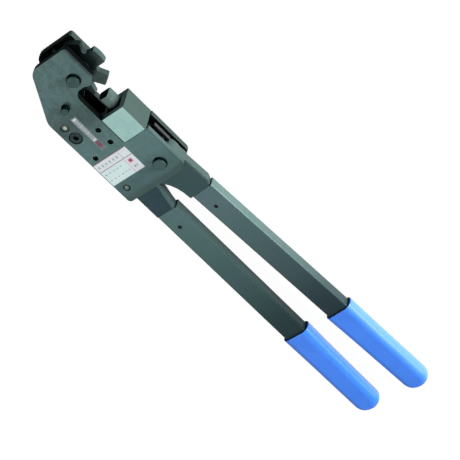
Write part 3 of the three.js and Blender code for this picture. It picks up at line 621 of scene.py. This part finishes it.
# ------------------------------------------------------------------ detailed pieces
def mesh_object(name, verts, faces, mats, index=None, smooth=True):
    me = bpy.data.meshes.new(name)
    me.from_pydata([tuple(v) for v in verts], [], faces)
    for m in mats:
        me.materials.append(m)
    if index is not None:
        me.polygons.foreach_set("material_index", index)
    me.polygons.foreach_set("use_smooth", [smooth] * len(me.polygons))
    me.validate()
    me.update()
    o = bpy.data.objects.new(name, me)
    SCENE.collection.objects.link(o)
    return o


def ring_section(a, b, r, n):
    """Points of a rounded rectangle, half sizes a, b, corner radius r: n points per corner, anticlockwise."""
    r = min(r, a, b)
    pts = []
    for cx, cy, a0 in ((a - r, b - r, 0), (-a + r, b - r, 90), (-a + r, -b + r, 180), (a - r, -b + r, 270)):
        for i in range(n):
            t = math.radians(a0 + 90.0 * i / (n - 1))
            pts.append((cx + r * math.cos(t), cy + r * math.sin(t)))
    return pts


def grip(name, node, body, mouth, turn, start, end):
    """Dipped vinyl sleeve: rounded lip, closed rounded end and a faint parting line down both edges."""
    W, T, R = 37.5 / 2, 22.0 / 2, 9.6
    TW, TT = 30.0 / 2 + 0.3, 15.0 / 2 + 0.3
    L0, L1 = start, end
    RP, RS = 16.0, 9.0
    n = 12
    rings = []

    def add(s, a, b, r, line=0.0):
        pts = ring_section(a, b, r, n)
        out = []
        for x, z in pts:
            k = math.exp(-((z / 0.55) ** 2)) * line
            x += math.copysign(k, x) if abs(x) > a * 0.8 else 0.0
            out.append((x, z, s))
        rings.append(out)

    # inside of the mouth, from deep to the lip
    add(L0 + 18.0, TW, TT, 2.8)
    add(L0 + 3.0, TW, TT, 2.8)
    add(L0 + 1.0, TW + 0.25, TT + 0.25, 3.0)
    # lip
    lip = 1.35
    for i in range(7):
        t = math.pi * i / 6
        off = lip * (1 - math.cos(t)) / 2
        add(L0 + lip * 0.6 * (1 - math.sin(t)), TW + 0.6 + (W + 0.5 - TW - 0.6) * (i / 6.0), TT + 0.6 + (T - TT - 0.6) * (i / 6.0),
            3.2 + (R - 3.2) * (i / 6.0))
    # body
    def half(s):
        flare = 0.8 * max(0.0, 1.0 - (s - L0) / 60.0) ** 2
        return W - 0.2 + flare - 1.2 * min(1.0, max(0.0, (s - L0 - 20.0) / (L1 - L0 - 20.0)))

    s = L0 + 3.0
    while s < L1 - RP:
        add(s, half(s), T - 0.2, R, 0.12)
        s += 4.0
    # closed end
    m = 16
    for i in range(m + 1):
        t = math.pi / 2 * i / m
        s = L1 - RP + RP * math.sin(t)
        a = half(s) - RP + RP * math.cos(t)
        d = max(0.0, (s - (L1 - RS)) / RS)
        b = T - 0.2 - RS + RS * math.sqrt(max(0.0, 1 - d * d))
        add(s, a, b, min(R, a, b), 0.12 * (1 - i / m))
    verts, faces = [], []
    k = len(rings[0])
    for rg in rings:
        for x, z, s in rg:
            verts.append(Vector((x, -s, z)) * MM)
    for j in range(len(rings) - 1):
        for i in range(k):
            i2 = (i + 1) % k
            faces.append((j * k + i, j * k + i2, (j + 1) * k + i2, (j + 1) * k + i))
    base = (len(rings) - 1) * k
    faces.append(tuple(base + i for i in range(k)))
    faces.append(tuple(reversed(range(k))))
    rot = Matrix.Rotation(turn, 4, "Z")
    at = Matrix.Translation(Vector((mouth[0], mouth[1], 21.1)) * MM)
    verts = [at @ rot @ v for v in verts]
    o = mesh_object(name, verts, faces, [MATS[node]])
    bm = bmesh.new()
    bm.from_mesh(o.data)
    bmesh.ops.remove_doubles(bm, verts=bm.verts, dist=1e-6)
    bmesh.ops.recalc_face_normals(bm, faces=bm.faces)
    bm.to_mesh(o.data)
    bm.free()
    w = o.modifiers.new("normals", "WEIGHTED_NORMAL")
    w.weight = 50
    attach(o, body)
    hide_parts(node)
    return o


def print_sheet(name, node, cells, inks, radius=0.0):
    """A thin printed sticker. cells lists marks (ink, x0, x1, y0, y1) in mm from the sheet's lower left corner."""
    lo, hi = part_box(node)
    x0, y0, x1, y1 = lo.x / MM, lo.y / MM, hi.x / MM, hi.y / MM
    w, h = x1 - x0, y1 - y0
    xs = sorted({0.0, w, *[c[1] for c in cells], *[c[2] for c in cells]})
    ys = sorted({0.0, h, *[c[3] for c in cells], *[c[4] for c in cells]})
    verts, faces, index = [], [], []
    for y in ys:
        for x in xs:
            verts.append(Vector((x0 + x, y0 + y, hi.z / MM)) * MM)
    nx = len(xs)
    for j in range(len(ys) - 1):
        for i in range(nx - 1):
            cx, cy = (xs[i] + xs[i + 1]) / 2, (ys[j] + ys[j + 1]) / 2
            ink = 0
            for c in cells:
                if c[1] < cx < c[2] and c[3] < cy < c[4]:
                    ink = c[0]
            faces.append((j * nx + i, j * nx + i + 1, (j + 1) * nx + i + 1, (j + 1) * nx + i))
            index.append(ink)
    top = len(verts)
    # skirt and underside
    border = [i for i in range(nx)] + [(j * nx + nx - 1) for j in range(1, len(ys))] + \
        [((len(ys) - 1) * nx + i) for i in range(nx - 2, -1, -1)] + [(j * nx) for j in range(len(ys) - 2, 0, -1)]
    low = []
    for i in border:
        low.append(len(verts))
        verts.append(Vector((verts[i].x, verts[i].y, lo.z)))
    for i in range(len(border)):
        a, b = border[i], border[(i + 1) % len(border)]
        faces.append((b, a, low[i], low[(i + 1) % len(border)]))
        index.append(0)
    faces.append(tuple(reversed(low)))
    index.append(0)
    o = mesh_object(name, verts, faces, inks, index, smooth=False)
    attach(o, "root")
    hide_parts(node)
    return o


def label():
    lo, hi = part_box("rating_label")
    w, h = (hi.x - lo.x) / MM, (hi.y - lo.y) / MM
    cells = []

    def mark(ink, u, v, du, dv):
        cells.append((ink, u * w - du / 2, u * w + du / 2, (1 - v) * h - dv / 2, (1 - v) * h + dv / 2))

    cells.append((3, 0.0, w, h - 0.9, h - 0.0001))
    cells.append((7, 0.0001, w - 0.0001, h * 0.63, h - 0.9))
    cells.append((9, w * 0.735, w - 0.0001, 0.0001, h * 0.63))
    cells.append((1, 0.0001, w - 0.0001, h * 0.625, h * 0.625 + 1.1))
    cells.append((4, w * 0.715, w * 0.715 + 1.3, 0.0001, h * 0.625 + 1.1))
    cells.append((5, w * 0.745, w * 0.745 + 0.7, h * 0.63 + 1.1, h - 0.9))
    for u, dv in ((0.09, 4.2), (0.20, 4.8), (0.31, 4.2), (0.42, 4.8), (0.53, 4.2), (0.64, 4.6)):
        mark(8, u, 0.19, 3.0, dv)
        mark(5, u, 0.19, 1.9, dv * 0.72)
        mark(6, u - 0.010, 0.19, 0.7, dv * 0.5)
    for i, u in enumerate((0.08, 0.20, 0.32, 0.43, 0.54)):
        mark(8, u, 0.53, 3.4, 2.2)
        mark(6 if i == 0 else 5, u, 0.53, 2.4, 1.2)
    for i, u in enumerate((0.08, 0.20, 0.31, 0.43, 0.54, 0.64)):
        mark(8, u, 0.80, 3.4, 2.0)
        mark(6 if i == 3 else 5, u, 0.80, 2.4, 1.0)
    mark(4, 0.845, 0.54, 6.2, 6.0)
    mark(2, 0.845, 0.54, 4.6, 4.4)
    mark(10, 0.845, 0.54, 2.6, 2.4)
    mark(8, 0.86, 0.80, 6.6, 3.4)
    mark(6, 0.825, 0.80, 2.2, 2.2)
    mark(5, 0.895, 0.79, 1.8, 2.4)
    inks = [paper("label_paper", (194, 213, 213), (190, 208, 210)), paper("label_ink_grey", (134, 122, 132), (144, 132, 140)),
            paper("label_ink_red", (158, 62, 92), (166, 70, 98)), paper("label_ink_border", (132, 84, 96), (142, 92, 102)),
            paper("label_ink_pink", (206, 168, 182), (198, 160, 174)), paper("label_ink_pale", (150, 162, 166), (158, 168, 172)),
            paper("label_ink_dark", (112, 120, 126), (120, 126, 132)), paper("label_paper_head", (203, 206, 210), (197, 201, 205)),
            paper("label_ink_faint", (184, 198, 200), (178, 192, 194)), paper("label_paper_side", (203, 206, 211), (197, 201, 205)),
            paper("label_ink_core", (118, 34, 70), (126, 40, 76))]
    return print_sheet("rating_label_print", "rating_label", cells, inks)


def strip():
    lo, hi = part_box("name_strip")
    w, h = (hi.x - lo.x) / MM, (hi.y - lo.y) / MM
    cells = []
    y = h - 1.8
    cells.append((5, 1.5, w - 1.5, y - 36.2, y))
    for i in range(10):
        ln = 2.9
        ink = 1 if i in (0, 9) else (2 if i % 3 else 4)
        cells.append((ink, 1.7, w - 1.7, y - ln, y))
        y -= ln + 0.8
    cells.append((6, 1.2, w - 1.2, y - 10.2, y - 0.4))
    cells.append((3, 1.7, w - 1.7, y - 9.0, y - 1.0))
    inks = [paper("strip_ground", (86, 96, 100), (80, 92, 96)), paper("strip_mark_bright", (184, 190, 194), (174, 182, 186)),
            paper("strip_mark", (138, 150, 152), (128, 142, 144)), paper("strip_red", (92, 30, 55), (84, 34, 55)),
            paper("strip_mark_soft", (152, 162, 165), (142, 154, 157)), paper("strip_pill", (116, 124, 130), (108, 118, 124)),
            paper("strip_red_edge", (94, 66, 80), (90, 68, 80))]
    return print_sheet("name_strip_print", "name_strip", cells, inks)


camera()
studio()
dress_nodes()
grip("fixed_grip_sleeve", "fixed_grip", "root", (-35.68, 74.0), 0.0, 231.5, 382.5)
grip("moving_grip_sleeve", "moving_grip", "moving_handle", (18.68, 74.0), math.radians(2.95), 231.5, 385.0)
label()
strip()
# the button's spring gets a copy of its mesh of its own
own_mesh(NODES["index_spring"])
